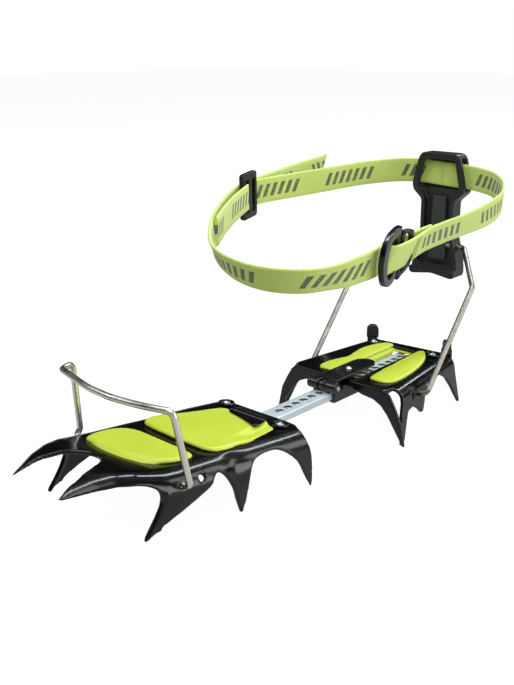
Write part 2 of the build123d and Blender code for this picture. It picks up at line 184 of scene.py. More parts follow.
def spline_point(a, b, c, d, t):
    """point at t, 0 to 1, from b to c on a smooth curve through a, b, c and d"""
    return 0.5 * (2 * b + (c - a) * t + (2 * a - 5 * b + 4 * c - d) * t * t
                  + (3 * b - a - 3 * c + d) * t ** 3)


def catmull(points, steps):
    """smooth line through the points, evenly spaced by length, and its length"""
    pts = [Vector(p) for p in points]
    pts = [2 * pts[0] - pts[1]] + pts + [2 * pts[-1] - pts[-2]]
    parts = 24
    dense = []
    for i in range(1, len(pts) - 2):
        dense += [spline_point(*pts[i - 1:i + 3], k / parts) for k in range(parts)]
    dense.append(pts[-2])
    lengths = [0.0]
    for a, b in zip(dense, dense[1:]):
        lengths.append(lengths[-1] + (b - a).length)
    total = lengths[-1]
    out = []
    j = 0
    for k in range(steps + 1):
        want = total * k / steps
        while j < len(lengths) - 2 and lengths[j + 1] < want:
            j += 1
        span = lengths[j + 1] - lengths[j]
        out.append(dense[j].lerp(dense[j + 1], (want - lengths[j]) / span if span else 0))
    return out, total


def blend_value(stops, at):
    """piecewise smooth value from (place, value) stops"""
    if at <= stops[0][0]:
        return stops[0][1]
    for (a, va), (b, vb) in zip(stops, stops[1:]):
        if at <= b:
            t = (at - a) / (b - a)
            return va + (vb - va) * t * t * (3 - 2 * t)
    return stops[-1][1]


# ---------------------------------------------------------------- pressed sheet
DECK_Z = 36.0         # about the height of the frames' top, in mm
ABOVE_ALL = 40.0
ROW_RISE = 0.866      # height of a triangle with sides of 1


def line_value(stops, at):
    """piecewise straight value from (place, value) stops in rising order"""
    if at <= stops[0][0]:
        return stops[0][1]
    for (a, va), (b, vb) in zip(stops, stops[1:]):
        if at <= b:
            return va + (vb - va) * (at - a) / (b - a)
    return stops[-1][1]


class Bend:
    """Sheet that is flat in the middle and rolled down at both sides.

    half, top and radius are (x, value) stops for the flat part's half width, its height and the
    roll's radius; turn is the angle of the roll. Below its top the sheet takes the section of a
    place further back, by the x of lag, as (z, x) stops.
    """

    def __init__(self, half, top, radius, turn, lag):
        self.half, self.top, self.radius, self.turn, self.lag = half, top, radius, turn, lag

    def at(self, x, z):
        x = max(x, x - (line_value(self.lag, z) - self.lag[-1][1]))
        return line_value(self.half, x), line_value(self.top, x), line_value(self.radius, x)

    def section(self, s, half, top, r):
        turn = self.turn
        if s <= half:
            return s, top
        if s <= half + r * turn:
            a = (s - half) / r
            return half + r * math.sin(a), top - r + r * math.cos(a)
        d = s - half - r * turn
        return (half + r * math.sin(turn) + d * math.cos(turn),
                top - r + r * math.cos(turn) - d * math.sin(turn))

    def place(self, x, s):
        """3-D point at a distance s from the middle line, measured over the skin"""
        side = -1 if s < 0 else 1
        z = DECK_Z
        for _ in range(8):             # the section depends on the height that it gives
            y, z = self.section(abs(s), *self.at(x, z))
        return x, side * y, z

    def from_z(self, x, z):
        """distance over the skin to a height on the rolled side"""
        half, top, r = self.at(x, z)
        turn = self.turn
        low = top - r + r * math.cos(turn)
        if z >= top:
            return half
        if z >= low:
            return half + r * math.acos(max(-1.0, (z - top + r) / r))
        return half + r * turn + (low - z) / math.sin(turn)

    def from_y(self, x, y):
        """distance over the skin to a y on the top"""
        half, _, r = self.at(x, ABOVE_ALL)
        if y <= half:
            return y
        return half + r * math.asin(min(1.0, (y - half) / r))


def smooth_run(points, step=1.1):
    """open smooth line through flat points, in even steps"""
    pts = [(x, s, 0) for x, s in points]
    _, total = catmull(pts, 8)
    flat, _ = catmull(pts, max(3, round(total / step)))
    return [(p.x, p.y) for p in flat]


def inside(loop, x, y):
    """whether a point lies in a closed loop"""
    hit = False
    for (ax, ay), (bx, by) in zip(loop, loop[1:] + loop[:1]):
        if (ay > y) != (by > y) and x < (bx - ax) * (y - ay) / (by - ay) + ax:
            hit = not hit
    return hit


def ring_loop(x, s, r, count=14):
    return [(x + r * math.cos(2 * math.pi * k / count), s + r * math.sin(2 * math.pi * k / count))
            for k in range(count)]


def round_loop(points, step=1.2):
    """closed smooth loop through the points"""
    pts = [Vector((x, y, 0)) for x, y in points]
    n = len(pts)
    out = []
    for i in range(n):
        a, b, c, d = pts[i - 1], pts[i], pts[(i + 1) % n], pts[(i + 2) % n]
        many = max(1, round((c - b).length / step))
        out += [tuple(spline_point(a, b, c, d, k / many).xy) for k in range(many)]
    return out


def cut_loop(points, step=1.2, corner=1.6):
    """closed outline of straight runs with clipped corners, in small steps"""
    pts = [Vector(p) for p in points]
    out = []
    for a, b, c in zip(pts[-1:] + pts[:-1], pts, pts[1:] + pts[:1]):
        u, w = a - b, c - b
        near, far = min(corner, u.length * 0.4), min(corner, w.length * 0.4)
        first, last = u.normalized() * near, w.normalized() * far
        out += [b + first, b + (first + last) * 0.28, b + last]
    dense = []
    for a, b in zip(out, out[1:] + out[:1]):
        many = max(1, round((b - a).length / step))
        dense += [tuple(a.lerp(b, k / many)) for k in range(many)]
    return dense


def edge_tree(points):
    """tree that finds the nearest of some flat points"""
    tree = KDTree(len(points))
    for k, (x, y) in enumerate(points):
        tree.insert((x, y, 0), k)
    tree.balance()
    return tree


def pressed_sheet(name, outline, holes, place, thick, step=1.7, margin=0.7):
    """Flat blank of evenly spaced triangles, cut by an outline and holes, bent by place.

    thick, step and the margin kept free of points beside the edges are in mm.
    """
    verts, edges = [], []
    for loop in [outline] + holes:
        first = len(verts)
        verts += [Vector(p) for p in loop]
        edges += [(first + k, first + (k + 1) % len(loop)) for k in range(len(loop))]
    tree = edge_tree(verts)

    def in_blank(x, y):
        return inside(outline, x, y) and not any(inside(h, x, y) for h in holes)

    xs = [p[0] for p in outline]
    ys = [p[1] for p in outline]
    row = 0
    y = min(ys)
    grid = []
    while y < max(ys):
        x = min(xs) + (row % 2) * step / 2
        while x < max(xs):
            if in_blank(x, y) and tree.find((x, y, 0))[2] > margin:
                grid.append(Vector((x, y)))
            x += step
        y += step * ROW_RISE
        row += 1
    flat, _, tris, _, _, _ = delaunay_2d_cdt(verts + grid, edges, [], 0, 1e-5)
    keep = [tuple(t) for t in tris
            if in_blank(sum(flat[i].x for i in t) / 3, sum(flat[i].y for i in t) / 3)]
    ob = mesh_object(name, [place(p.x, p.y) for p in flat], keep)
    solid = ob.modifiers.new("solid", "SOLIDIFY")
    solid.thickness = thick * MM
    solid.offset = -1
    solid.use_even_offset = True
    return ob


# ---------------------------------------------------------------- materials
HOLE_SHADE_REACH = 0.0045                   # half width of the band with the bar's holes, whose steep walls get painted shade; all in metres
RIB_PITCH, WARP_PITCH = 0.00095, 0.0007
PRINT_PITCH, PRINT_HALF, DASH_PITCH = 0.066, 0.0043, 0.0062


def principled(name, color, roughness, metallic=0.0, coat=0.0, coat_rough=0.05, sheen=0.0):
    mat = bpy.data.materials.new(name)
    mat.use_nodes = True
    bsdf = mat.node_tree.nodes["Principled BSDF"]
    bsdf.inputs["Base Color"].default_value = (*color, 1)
    bsdf.inputs["Roughness"].default_value = roughness
    bsdf.inputs["Metallic"].default_value = metallic
    bsdf.inputs["Coat Weight"].default_value = coat
    bsdf.inputs["Coat Roughness"].default_value = coat_rough
    bsdf.inputs["Sheen Weight"].default_value = sheen
    return mat, mat.node_tree, bsdf


# Node helpers: each adds nodes to a tree and gives the output to link on.
def node(tree, kind, **values):
    n = tree.nodes.new(kind)
    for key, value in values.items():
        if key in n.inputs:
            n.inputs[key].default_value = value
        else:
            setattr(n, key, value)
    return n


def noise(tree, scale, detail=3.0, rough=0.5, vector=None):
    tex = node(tree, "ShaderNodeTexNoise", Scale=scale, Detail=detail, Roughness=rough)
    if vector is None:
        vector = node(tree, "ShaderNodeTexCoord").outputs["Object"]
    tree.links.new(vector, tex.inputs["Vector"])
    return tex.outputs["Fac"]


def ramp(tree, value, low, high, out_low, out_high):
    rng = node(tree, "ShaderNodeMapRange")
    rng.inputs["From Min"].default_value = low
    rng.inputs["From Max"].default_value = high
    rng.inputs["To Min"].default_value = out_low
    rng.inputs["To Max"].default_value = out_high
    tree.links.new(value, rng.inputs["Value"])
    return rng.outputs["Result"]


def mix_color(tree, fac, a, b):
    mix = node(tree, "ShaderNodeMix", data_type="RGBA")
    for socket, value in ((mix.inputs[6], a), (mix.inputs[7], b)):
        if isinstance(value, tuple):
            socket.default_value = (*value, 1)
        else:
            tree.links.new(value, socket)
    tree.links.new(fac, mix.inputs[0])
    return mix.outputs[2]


def math_node(tree, kind, a, b=None):
    n = node(tree, "ShaderNodeMath", operation=kind)
    for socket, value in ((n.inputs[0], a), (n.inputs[1], b)):
        if value is None:
            continue
        if isinstance(value, (int, float)):
            socket.default_value = value
        else:
            tree.links.new(value, socket)
    return n.outputs[0]


def bump(tree, bsdf, height, strength, distance):
    n = node(tree, "ShaderNodeBump", Strength=strength, Distance=distance)
    tree.links.new(height, n.inputs["Height"])
    tree.links.new(n.outputs["Normal"], bsdf.inputs["Normal"])


def vary_rough(tree, bsdf, value, low, high):
    tree.links.new(ramp(tree, value, 0.3, 0.7, low, high), bsdf.inputs["Roughness"])


def vary_color(tree, bsdf, fac, a, b):
    tree.links.new(mix_color(tree, fac, a, b), bsdf.inputs["Base Color"])


def make_frame_paint():
    mat, tree, bsdf = principled("frame_paint", (0.004, 0.004, 0.005), 0.2,
                                 coat=0.2, coat_rough=0.06)
    bsdf.inputs["Specular IOR Level"].default_value = 0.36
    speck = noise(tree, 900.0, 2.0)
    cloud = noise(tree, 28.0, 4.0)
    vary_rough(tree, bsdf, cloud, 0.17, 0.27)
    vary_color(tree, bsdf, cloud, (0.0016, 0.0016, 0.002), (0.003, 0.003, 0.004))
    bump(tree, bsdf, speck, 0.02, 0.00005)
    return mat


def make_lock_metal():
    mat, tree, bsdf = principled("lock_metal", (0.006, 0.006, 0.007), 0.28,
                                 coat=0.25, coat_rough=0.1)
    cloud = noise(tree, 120.0, 4.0)
    vary_rough(tree, bsdf, cloud, 0.22, 0.36)
    vary_color(tree, bsdf, cloud, (0.004, 0.004, 0.005), (0.009, 0.009, 0.010))
    bump(tree, bsdf, noise(tree, 1500.0, 2.0), 0.03, 0.0001)
    return mat


def make_pad(name, base, deep):
    mat, tree, bsdf = principled(name, base, 0.36, coat=0.15, coat_rough=0.25)
    cloud = noise(tree, 40.0, 3.0)
    fine = noise(tree, 1400.0, 2.0)
    vary_color(tree, bsdf, cloud, deep, base)
    vary_rough(tree, bsdf, cloud, 0.3, 0.44)
    bsdf.inputs["Subsurface Weight"].default_value = 0.12
    bsdf.inputs["Subsurface Radius"].default_value = (0.004, 0.005, 0.001)
    bump(tree, bsdf, fine, 0.08, 0.0002)
    return mat


def make_zinc():
    """cloudy zinc, with painted shade on the walls of the bar's holes, which lie on the middle line"""
    mat, tree, bsdf = principled("zinc", (0.62, 0.70, 0.74), 0.36, metallic=0.2)
    cloud = noise(tree, 60.0, 5.0)
    fine = noise(tree, 1600.0, 2.0)
    geo = node(tree, "ShaderNodeNewGeometry")
    lie, spot = node(tree, "ShaderNodeSeparateXYZ"), node(tree, "ShaderNodeSeparateXYZ")
    tree.links.new(geo.outputs["Normal"], lie.inputs[0])
    tree.links.new(geo.outputs["Position"], spot.inputs[0])
    steep = ramp(tree, math_node(tree, "ABSOLUTE", lie.outputs["Z"]), 0.75, 0.45, 0.0, 1.0)
    hole_shade_band = math_node(tree, "LESS_THAN", math_node(tree, "ABSOLUTE", spot.outputs["Y"]), HOLE_SHADE_REACH)
    face = mix_color(tree, cloud, (0.50, 0.58, 0.62), (0.68, 0.74, 0.77))
    # painted shade: steep walls in the holes' band turn dark teal in place of the shade inside the bar's holes
    vary_color(tree, bsdf, math_node(tree, "MULTIPLY", steep, hole_shade_band), face, (0.03, 0.05, 0.055))
    vary_rough(tree, bsdf, cloud, 0.24, 0.4)
    bump(tree, bsdf, fine, 0.1, 0.0002)
    return mat


def make_steel(name, color, roughness):
    mat, tree, bsdf = principled(name, color, roughness, metallic=1.0)
    mapping = node(tree, "ShaderNodeMapping")
    mapping.inputs["Scale"].default_value = (30, 30, 90)
    tree.links.new(node(tree, "ShaderNodeTexCoord").outputs["Object"], mapping.inputs["Vector"])
    streak = noise(tree, 3.0, 4.0, 0.6, mapping.outputs["Vector"])
    vary_rough(tree, bsdf, streak, roughness * 0.75, roughness * 1.5)
    bump(tree, bsdf, streak, 0.002, 0.00005)
    return mat


def make_plastic(name, color, roughness, grain):
    mat, tree, bsdf = principled(name, color, roughness)
    fine = noise(tree, grain, 3.0)
    cloud = noise(tree, 35.0, 3.0)
    vary_color(tree, bsdf, cloud, color, tuple(c * 1.6 for c in color))
    vary_rough(tree, bsdf, cloud, roughness * 0.85, roughness * 1.2)
    bump(tree, bsdf, fine, 0.18, 0.0003)
    return mat


def make_webbing():
    """woven tape with a printed row of slanted dashes; the UV runs along and across it, in metres"""
    mat, tree, bsdf = principled("webbing", (0.52, 0.78, 0.10), 0.75, sheen=0.35)
    bsdf.inputs["Sheen Roughness"].default_value = 0.4
    sep = node(tree, "ShaderNodeSeparateXYZ")
    tree.links.new(node(tree, "ShaderNodeUVMap").outputs["UV"], sep.inputs[0])
    u, v = sep.outputs["X"], sep.outputs["Y"]

    def calc(kind, a, b=None):
        return math_node(tree, kind, a, b)

    rib = calc("SINE", calc("MULTIPLY", u, 2 * math.pi / RIB_PITCH))
    warp = calc("SINE", calc("MULTIPLY", v, 2 * math.pi / WARP_PITCH))
    weave = calc("MULTIPLY", calc("MULTIPLY", rib, warp), 0.5)
    weave = calc("ADD", weave, calc("MULTIPLY", rib, 0.5))
    bump(tree, bsdf, calc("ADD", weave, noise(tree, 2500.0, 2.0)), 0.55, 0.00022)
    # the print: groups of seven slanted dashes in a middle band
    place = calc("MULTIPLY", calc("FRACT", calc("DIVIDE", u, PRINT_PITCH)), PRINT_PITCH)
    slanted = calc("ADD", place, calc("MULTIPLY", v, 0.45))
    on_dash = calc("LESS_THAN", calc("FRACT", calc("DIVIDE", slanted, DASH_PITCH)), 0.52)
    in_group = calc("MULTIPLY", calc("GREATER_THAN", slanted, DASH_PITCH * 2),
                    calc("LESS_THAN", slanted, DASH_PITCH * 9 - 0.0001))
    band = calc("LESS_THAN", calc("ABSOLUTE", v), PRINT_HALF)
    mark = calc("MULTIPLY", calc("MULTIPLY", on_dash, in_group), band)
    mark = calc("MULTIPLY", mark, ramp(tree, noise(tree, 900.0, 3.0), 0.3, 0.55, 0.72, 1.0))
    cloud = noise(tree, 55.0, 3.0)
    # painted shade and painted highlight: the green is darker in the weave's hollows and lighter on its crests,
    # following the bump's height
    thread = ramp(tree, weave, -1.0, 1.0, 0.0, 1.0)
    deep = mix_color(tree, thread, (0.53, 0.71, 0.09), (0.69, 0.86, 0.22))
    light = mix_color(tree, thread, (0.64, 0.81, 0.15), (0.82, 0.94, 0.34))
    green = mix_color(tree, cloud, deep, light)
    vary_color(tree, bsdf, mark, green, (0.13, 0.13, 0.09))
    return mat


MAT = {
    "frame_black": make_frame_paint(),
    "pad_lime": make_pad("pad_plastic", (0.63, 0.725, 0.075), (0.55, 0.66, 0.04)),
    "bar_zinc": make_zinc(),
    "washer_black": make_frame_paint(),
    "rivet_steel": make_steel("rivet", (0.86, 0.86, 0.88), 0.34),
    "wire_stainless": make_steel("wire", (0.80, 0.76, 0.69), 0.28),
    "cap_black": make_plastic("cap_plastic", (0.010, 0.010, 0.011), 0.42, 1500.0),
    "lever_black": make_plastic("lever_plastic", (0.010, 0.010, 0.011), 0.38, 1800.0),
    "panel_grey": make_plastic("panel_plastic", (0.03, 0.031, 0.034), 0.5, 2200.0),
    "webbing_lime": make_webbing(),
    "buckle_black": make_frame_paint(),
}
LOCK_METAL = make_lock_metal()


# ---------------------------------------------------------------- front frame
WIRE_X, WIRE_Z = -96.0, 28.6          # the toe bail's hole
SHEET_EDGE_GAP = 0.3                  # closest spacing of points along the edge
UNDER_FRONT_SHEET = 33.4
TOE_CREASE = [(3.6, -118.8), (10, -113.8), (16, -109.8), (22, -106.8), (30, -104.5)]
FRONT_BEND = Bend(
    half=[(-155.8, 13.9), (-149, 16.0), (-140, 19.7), (-130, 23.4), (-120, 27.2), (-112, 29.4),
          (-104.5, 30.6), (-94, 30.5), (-20, 30.0), (9, 28.0)],
    top=[(-155.8, 30.4), (-149, 33.3), (-140, 36.6), (-130, 38.2), (-120, 37.6), (-112, 36.3),
         (-104.5, 35.4), (-94, 35.0)],
    radius=[(-155.8, 10.5), (-112, 10.8), (-104.5, 12.0), (-94, 13.0), (-20, 13.5), (9, 15.5)],
    turn=math.radians(93.5), lag=TOE_CREASE)
# one half of the sheet's edge, from the rear: (x, y) on the top, (x, z) down the side
REAR_EDGE_Y = [(9, 0), (9, 12), (9, 20), (8, 27), (5.6, 32)]
REAR_EDGE_Z = [(4.6, 31), (5.4, 25), (7.4, 17), (9.6, 7), (10.2, 0.1)]
ROW_4_TO_3 = [(8.8, 0), (3.8, 7), (-3, 16.5), (-9, 22.5), (-15, 27.3), (-21, 30.2), (-28, 30.8),
              (-36, 30.2), (-42, 28.6), (-45.5, 25), (-46.8, 18), (-47.6, 9), (-49.4, 0.3)]
ROW_3_TO_2 = [(-51, 0), (-55, 8), (-60, 18.5), (-64.5, 25), (-67.6, 28), (-70.5, 28.8), (-73.6, 27),
              (-76.5, 23.2), (-84, 19.4), (-98, 13.6), (-108.4, 9.2), (-109.4, 7.4), (-113, 6.4),
              (-117.5, 4.2), (-119.6, 3.6)]
ROW_2_TO_HORN = [(-119.6, 3.6), (-118.2, 7), (-113.8, 14), (-110.6, 20.5), (-110, 25), (-111.5, 29),
                 (-116, 31.5), (-126, 32.8), (-138, 32.4), (-148, 30.4), (-155.8, 28.6)]
HORN_TO_MIDDLE = [(-155.8, 19), (-149, 17.4), (-143, 16.8), (-136, 14.6), (-128, 12), (-122, 7.6),
                  (-118.4, 3), (-117.6, 0)]
TOE_WINDOW = [(-103, 0), (-102.6, 12), (-101, 18), (-97, 22.5), (-92, 24), (-86, 23), (-82, 20),
              (-81, 10), (-81, 0), (-81, -10), (-82, -20), (-86, -25), (-92, -26), (-97, -24.5),
              (-101, -20), (-102.6, -12)]
BALL_WINDOW = [(-64.6, 0), (-64.4, 14), (-63.6, 21), (-60, 25), (-52, 26), (-40, 22), (-28, 18),
               (-23, 14), (-21.5, 8), (-21.5, 0), (-21.5, -12), (-23, -19), (-28, -24),
               (-38, -27.4), (-50, -28.6), (-60, -27.5), (-63.8, -23), (-64.4, -14)]
FRONT_RIVETS = [(-2.0, -24.0, 35.0), (2.0, 24.0, 35.0)]
# the sheet runs thin towards the horns' tips and the points' tips: (x, share) and (z, share)
HORN_SHARE = [(-156.5, 0.25), (-146, 0.75), (-138, 1)]
POINT_SHARE = [(1, 0.4), (9, 0.9), (14, 1)]


def front_outline():
    """the blank's edge as (x, distance over the skin)"""
    b = FRONT_BEND
    half = smooth_run([(x, b.from_y(x, y)) for x, y in REAR_EDGE_Y]
                      + [(x, b.from_z(x, z)) for x, z in REAR_EDGE_Z])
    for run in (ROW_4_TO_3, ROW_3_TO_2, ROW_2_TO_HORN):
        half += smooth_run([(x, b.from_z(x, z)) for x, z in run])
    half += smooth_run([(x, b.from_y(x, y)) for x, y in HORN_TO_MIDDLE])
    clean = [half[0]]
    for p in half[1:]:
        if math.dist(p, clean[-1]) > SHEET_EDGE_GAP:
            clean.append(p)
    return clean + [(x, -s) for x, s in reversed(clean[1:-1])]


def front_skin(x, s):
    """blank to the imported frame: the bend, the crease beside the toe and a dent in each side"""
    px, py, pz = FRONT_BEND.place(x, s)
    side = -1 if py < 0 else 1
    ahead = line_value(TOE_CREASE, pz) - px
    if ahead > 0 and pz < 29:
        py -= side * ahead * 0.3 * min(1.0, (29 - pz) / 6)
    dent = math.exp(-((px + 57) / 7.5) ** 2) * blend_value([(14, 0), (27, 1), (33, 1), (35, 0)], pz)
    if abs(s) > 34:
        py -= side * 1.5 * dent
    return front_place((px, py, pz))


def front_holes():
    b = FRONT_BEND
    holes = []
    for side, (x, y, _) in zip((-1, 1), FRONT_RIVETS):
        holes.append(ring_loop(WIRE_X, side * b.from_z(WIRE_X, WIRE_Z), 1.95))
        holes.append(ring_loop(-82.4, side * b.from_z(-82.4, 28.8), 2.3))   # the spare hole
        holes.append(ring_loop(x, y, 2.4))
    return holes + [round_loop(TOE_WINDOW), round_loop(BALL_WINDOW)]


sheet = pressed_sheet("front_frame_sheet", front_outline(), front_holes(), front_skin, 2.5)
thin = sheet.vertex_groups.new(name="thin")
for v in sheet.data.vertices:
    share = min(line_value(HORN_SHARE, (v.co.x - SHIFT.x) / MM), line_value(POINT_SHARE, v.co.z / MM))
    thin.add([v.index], share, "REPLACE")
sheet.modifiers["solid"].vertex_group = "thin"
sheet.modifiers["solid"].thickness_vertex_group = 0.0
stands_for(fuse(sheet, voxel=0.0005, passes=14, keep=0.8), "front_frame")


# ---------------------------------------------------------------- snow pads, washers and rivets
def moulded_block(name, loop, height, depth, rim, place, step=1.4):
    """moulded slab: outline in (x, y), top height given by a function, edge rounded by rim"""
    tree = edge_tree(loop)

    def put(x, y):
        near = tree.find((x, y, 0))[2]
        fall = 0 if near >= rim else rim - math.sqrt(rim ** 2 - (rim - near) ** 2)
        return place((x, y, height(x, y) - fall))

    ob = pressed_sheet(name, loop, [], put, depth, step, margin=0.5)
    ob.modifiers["solid"].use_even_offset = False
    return ob


def lathe(profile, place, at, count=40):
    """ring turned from (radius, height) points about a post at a place"""
    x, y, z = at
    verts, faces = [], []
    n = len(profile)
    for k in range(count):
        a = 2 * math.pi * k / count
        j = (k + 1) % count
        verts += [place((x + r * math.cos(a), y + r * math.sin(a), z + h)) for r, h in profile]
        for i in range(n):
            m = (i + 1) % n
            faces.append((k * n + i, k * n + m, j * n + m, j * n + i))
    return verts, faces


def join_rings(name, parts):
    """turned rings in one mesh, with rounded edges"""
    verts, faces = [], []
    for v, f in parts:
        faces += [tuple(i + len(verts) for i in face) for face in f]
        verts += v
    ob = mesh_object(name, verts, faces)
    ob.modifiers.new("round", "SUBSURF").levels = 1
    return apply_modifiers(ob)


# closed profiles as (radius, height)
WASHER = [(2.3, 0.0), (2.4, 0.8), (3.1, 0.9), (3.6, 1.6), (4.3, 2.2), (4.9, 2.1), (5.4, 1.4),
          (5.6, 0.0)]
RIVET = [(1.1, -1.0), (1.15, 1.0), (1.5, 1.5), (2.1, 1.55), (2.6, 1.3), (2.85, 0.9), (2.3, 0.4),
         (2.1, -4.0)]
HEEL_RIVETS = [(165.0, -24.3, 36.0), (161.5, 24.3, 36.0)]
for part, posts, place in (("front", FRONT_RIVETS, front_place), ("heel", HEEL_RIVETS, heel_place)):
    stands_for(join_rings(part + "_washer_rings", [lathe(WASHER, place, p) for p in posts]),
               part + "_washers")
    stands_for(join_rings(part + "_rivet_eyes", [lathe(RIVET, place, p) for p in posts]),
               part + "_rivets")

TOE_PAD = [(-112.0, 0), (-112.8, -6), (-112.0, -12), (-108.8, -18.4), (-103.6, -23), (-97, -27.4),
           (-90, -30.2), (-83, -31.0), (-79.2, -30.2), (-77.7, -27), (-77.5, -14), (-77.4, 0),
           (-77.3, 14), (-78.8, 20), (-82.4, 24.4), (-88, 26.8), (-94, 27.4), (-100, 26.8),
           (-105.4, 25.2), (-107.8, 22.6), (-109.2, 16), (-110.8, 8)]
BALL_PAD = [(-68.4, 0), (-68.3, -12), (-68.2, -22), (-67, -27.6), (-64.5, -31), (-60.5, -32.7),
            (-54, -33.2), (-46, -32.7), (-36.7, -31.9), (-26, -30.4), (-16, -28.4), (-9, -26.2),
            (-6.2, -23), (-6.6, -16), (-8.4, -8), (-8.8, 4), (-8.9, 13), (-11.4, 16.6), (-17, 18.6),
            (-25, 20.6), (-35.7, 23.6), (-44, 27), (-50.5, 29.2), (-55.5, 29.8), (-60.5, 28.6),
            (-64.8, 25), (-67, 18), (-68, 9)]
PAD_TOP = 37.5
PAD_DEPTH = 4.6


def toe_height(x, y):
    """crowned top with a sloping wall at the toe"""
    wall = blend_value([(-111.6, 1.0), (-105.8, 0.0)], x + 0.12 * y - 0.28 * max(0.0, -8 - y))
    return PAD_TOP + 0.5 * (1 - (y / 30) ** 2) - 2.6 * wall


def ball_height(x, y):
    """crowned top; the near rear corner drops beside a slanting fold"""
    crown = PAD_TOP + 0.5 * (1 - (y / 32) ** 2)
    ahead = (x + 17) * 0.152 - (y + 20) * 0.988
    drop = blend_value([(-1.5, 0.0), (2.2, 1.0)], ahead) * blend_value([(-48, 0.0), (-24, 1.0)], x)
    return crown - 2.4 * drop


def front_pad_base():
    """CAD pad, pressed down to lie under the frame's sheet"""
    ob = cad_copy("front_antiball_plate")
    normal = (front_place((0, 0, 1)) - front_place((0, 0, 0))).normalized()
    level = front_place((0, 0, UNDER_FRONT_SHEET)).dot(normal)
    for v in ob.data.vertices:
        over = v.co.dot(normal) - level
        if over > 0:
            v.co -= normal * over
    return ob


def pad_top(name, outline, height, rim, place):
    return moulded_block(name, round_loop(outline, 0.9), height, PAD_DEPTH, rim, place)


pads = join_meshes("front_snow_pads", [pad_top("toe_top", TOE_PAD, toe_height, 1.8, front_place),
                                       pad_top("ball_top", BALL_PAD, ball_height, 1.8, front_place),
                                       front_pad_base()])
stands_for(fuse(pads, voxel=0.0006, passes=4, keep=0.4), "front_antiball_plate")


# ---------------------------------------------------------------- wires
SHALLOW = 1.3         # half angle between two runs, in radians, above which the bend is wide
WIDE_BEND = 60.0


def wire_line(corners, bend, step=0.8):
    """straight runs joined by arcs of a bend radius"""
    pts = [Vector(p) for p in corners]
    out = [pts[0]]
    for a, b, c in zip(pts, pts[1:], pts[2:]):
        u, w = (a - b).normalized(), (c - b).normalized()
        half = u.angle(w) / 2
        turn = min(bend if half < SHALLOW else WIDE_BEND,
                   0.45 * min((a - b).length, (c - b).length) * math.tan(half))
        cut = turn / math.tan(half)
        middle = b + (u + w).normalized() * (turn / math.sin(half))
        first, last = b + u * cut, b + w * cut
        steps = max(3, round(turn * (math.pi - 2 * half) / step))
        for k in range(steps + 1):
            p = first.lerp(last, k / steps)
            out.append(middle + (p - middle).normalized() * turn)
    out.append(pts[-1])
    dense = [out[0]]
    for p in out[1:]:
        start = dense[-1]
        many = max(1, int((p - start).length / 3.0))
        dense += [start.lerp(p, (k + 1) / many) for k in range(many)]
    return dense


def tube(name, line, radius, place, sides=20):
    """round wire along a line, with rounded ends"""
    way = (line[1] - line[0]).normalized()
    across = way.orthogonal().normalized()
    rings = [(line[0] - way * radius * 0.5, way, 0.5), (line[0] - way * radius * 0.2, way, 0.87)]
    for i, p in enumerate(line):
        ahead = line[min(i + 1, len(line) - 1)] - line[max(i - 1, 0)]
        rings.append((p, ahead.normalized(), 1.0))
    way = (line[-1] - line[-2]).normalized()
    rings += [(line[-1] + way * radius * 0.2, way, 0.87), (line[-1] + way * radius * 0.5, way, 0.5)]
    verts = []
    for p, way, share in rings:
        across = (across - way * across.dot(way)).normalized()
        up = way.cross(across)
        for k in range(sides):
            a = 2 * math.pi * k / sides
            verts.append(place(p + (across * math.cos(a) + up * math.sin(a)) * radius * share))
    return mesh_object(name, verts, skin_faces(len(rings), sides))


# corners of the two wires; the toe bail's are given from its hole
TOE_BAIL = [(0, -39.5, 0), (0, -47.0, 0), (-11.5, -43.5, 41.0), (-19.0, -27.0, 41.4),
            (-22.0, -9.0, 41.4), (-21.6, 10.0, 41.8), (-17.5, 27.0, 42.2), (-14.0, 42.4, 42.6),
            (-4.5, 45.8, 43.6), (2.2, 46.2, 4.4), (0, 46.8, 0), (0, 39.5, 0)]
HEEL_WIRE = [(118.5, -39.5, 26.4), (118.5, -49.2, 26.4), (171.0, -49.2, 90.0), (205.0, -21.5, 108.0),
             (205.0, 21.5, 108.0), (171.0, 49.2, 90.0), (118.5, 49.2, 26.4), (118.5, 39.5, 26.4)]
toe_line = wire_line([(WIRE_X + x, y, WIRE_Z + z) for x, y, z in TOE_BAIL], bend=4.0)
stands_for(tube("toe_bail_wire", toe_line, radius=1.8, place=front_place), "toe_bail")
heel_line = wire_line(HEEL_WIRE, bend=4.2)
# painted shade: the heel wire gets a darker copy of the same stainless as the toe bail, to look as dim as it does
# under the light
stands_for(tube("heel_bail_wire", heel_line, radius=1.9, place=heel_place), "heel_wire",
           make_steel("heel_wire_steel_painted_shade", (0.30, 0.28, 0.25), 0.32))


# ---------------------------------------------------------------- heel frame and pads
HEEL_DECK = [(90.5, 9.4), (131, 9.4), (170.5, 9.4), (171, 20), (169, 26.5), (150, 29.4),
             (120, 33.2), (98, 33.6), (91, 31), (89.6, 20)]
HEEL_DECK_TOP = 35.95
HEEL_PAD_TOP = 37.3
UNDER_HEEL_SHEET = 34.4


def heel_deck(side):
    loop = [(x, side * y) for x, y in HEEL_DECK][::side]
    return pressed_sheet("heel_deck", cut_loop(loop), [],
                         lambda x, y: heel_place((x, y, HEEL_DECK_TOP)),
                         thick=1.4, step=1.6, margin=0.6)


